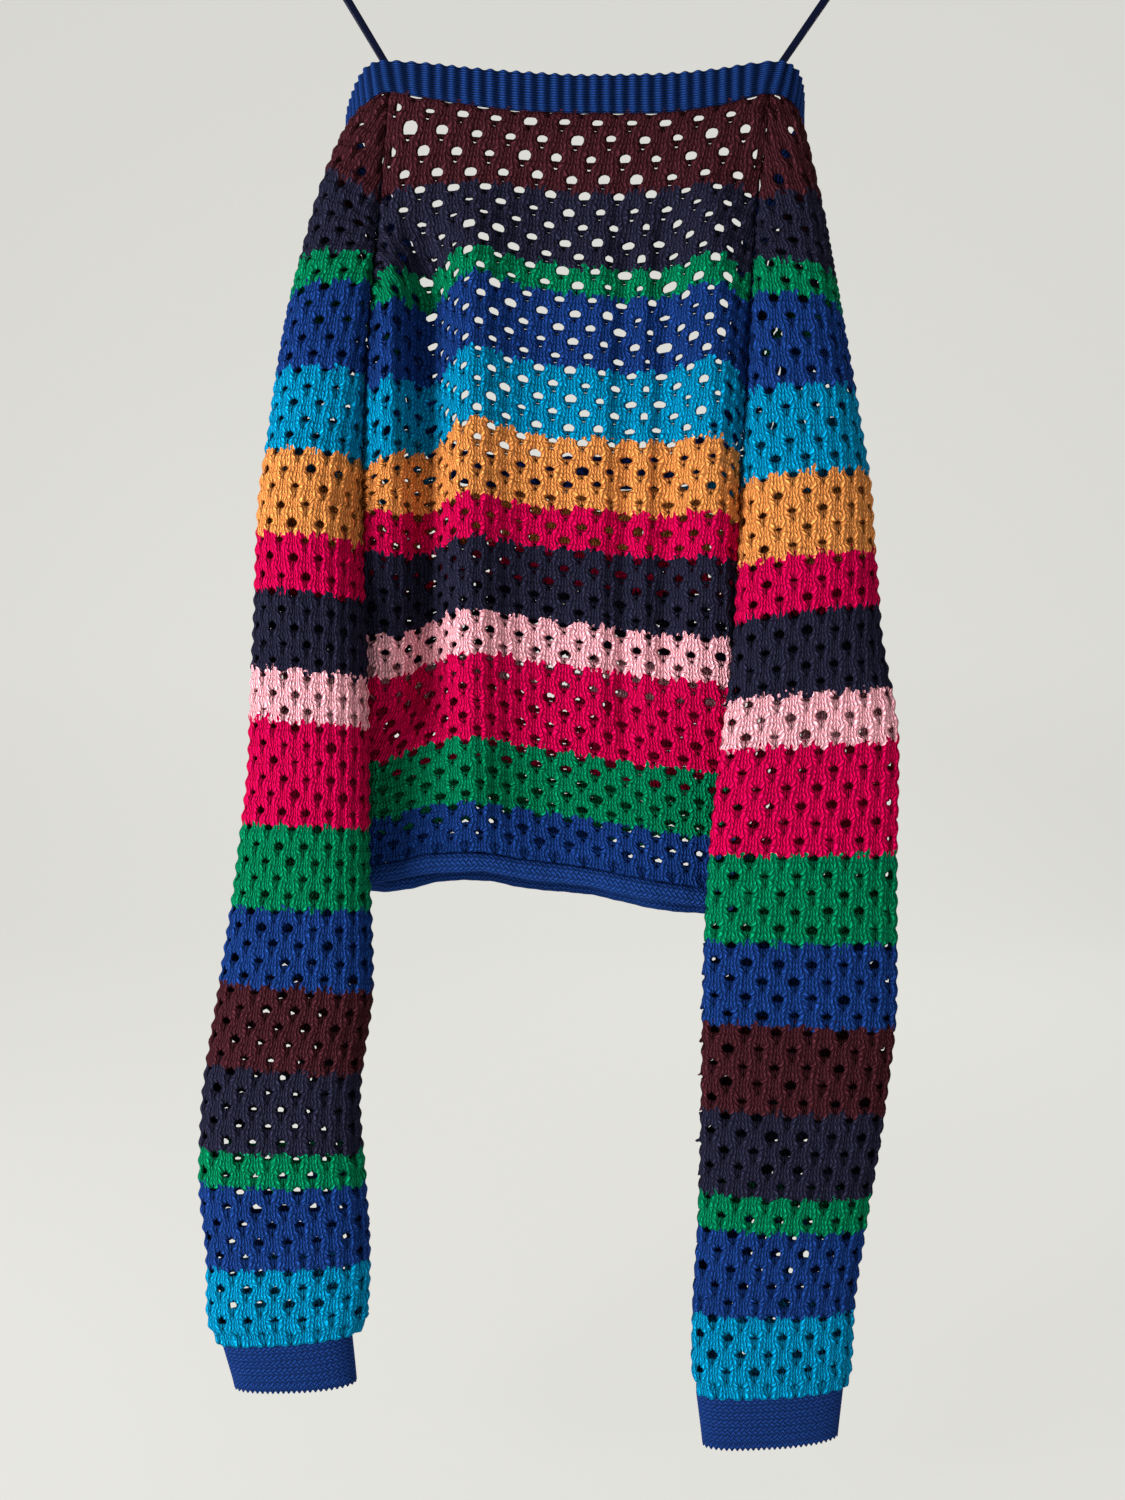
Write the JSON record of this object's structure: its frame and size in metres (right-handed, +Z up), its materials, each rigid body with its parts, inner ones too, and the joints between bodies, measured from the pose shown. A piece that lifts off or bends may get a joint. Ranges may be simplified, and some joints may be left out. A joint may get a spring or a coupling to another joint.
{
  "type": "striped openwork knit sweater on a loop hanger",
  "caption": "Cropped long-sleeved openwork knit sweater in wide stripes, hanging by ribbon loops from a plain wooden hanger.",
  "frame": {"origin": "the point under the top of the hanger's hook where it bears on a rail", "axes": "+X to the right across the back panel as the picture shows it, +Y away from the viewer through the garment, +Z up"},
  "size_m": [0.4399, 0.1097, 1.0518],
  "materials": {
    "lace_knit_back": "matt openwork cotton knit in wide stripes",
    "lace_knit_front": "matt openwork cotton knit in wide stripes",
    "lace_knit_left_sleeve": "matt openwork cotton knit in wide stripes",
    "lace_knit_right_sleeve": "matt openwork cotton knit in wide stripes",
    "ribbed_blue": "matt one by one rib",
    "purl_blue_hem": "matt rolled purl side of plain knit",
    "purl_blue": "matt purl side of plain knit",
    "satin_ribbon": "narrow satin ribbon",
    "pale_wood": "sealed pale wood",
    "hook_steel": "plated steel wire"
  },
  "bodies": {
    "root": {"back_panel": "lace_knit_back", "front_panel": "lace_knit_front", "left_sleeve_upper": "lace_knit_left_sleeve", "left_sleeve_lower": "lace_knit_left_sleeve", "right_sleeve_upper": "lace_knit_right_sleeve", "right_sleeve_lower": "lace_knit_right_sleeve", "neckband": "ribbed_blue", "hem": "purl_blue_hem", "left_cuff": "purl_blue", "right_cuff": "purl_blue", "left_loop": "satin_ribbon", "right_loop": "satin_ribbon", "hanger_arms": "pale_wood", "hanger_hook": "hook_steel"}
  },
  "joints": []
}
